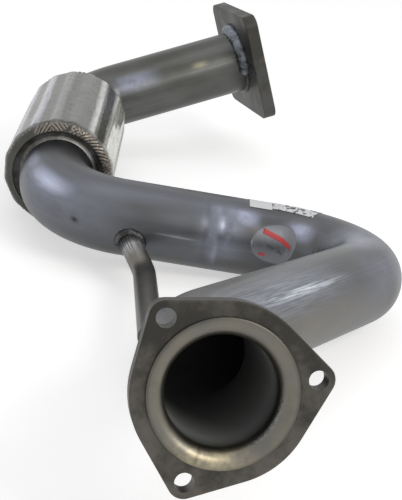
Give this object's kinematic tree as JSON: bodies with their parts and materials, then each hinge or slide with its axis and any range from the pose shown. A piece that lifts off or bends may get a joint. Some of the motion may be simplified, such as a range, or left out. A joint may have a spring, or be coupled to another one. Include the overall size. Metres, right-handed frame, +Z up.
{
  "type": "exhaust front pipe",
  "caption": "Bent exhaust front pipe with a flared lobed inlet flange, a braided flexible coupling, a slim side tube and a rounded rectangular outlet flange.",
  "frame": {"origin": "bottom centre of the bounding box, on the ground that the pipe lies on", "axes": "+Z up, +Y along the pipe from the inlet flange to the outlet end, +X to the right as seen from the inlet flange"},
  "size_m": [0.32, 0.788, 0.1524],
  "materials": {
    "pipe": "mill scale with drawing marks",
    "flange": "dark oxide",
    "weld": "weld bead with heat tint",
    "braid": "woven wire, satin",
    "coupling": "formed sheet, dull",
    "branch": "dull with heat tint"
  },
  "bodies": {
    "root": {"front_flange": "flange", "front_flange_weld": "weld", "front_pipe": "pipe", "side_tube": "branch", "side_tube_weld": "weld", "outer_braid": "braid", "bellows": "coupling", "inner_liner": "coupling", "front_cup": "coupling", "rear_cup": "coupling", "front_cup_weld": "weld", "rear_cup_weld": "weld", "rear_pipe": "pipe", "rear_flange": "flange", "rear_flange_weld": "weld"}
  },
  "joints": []
}
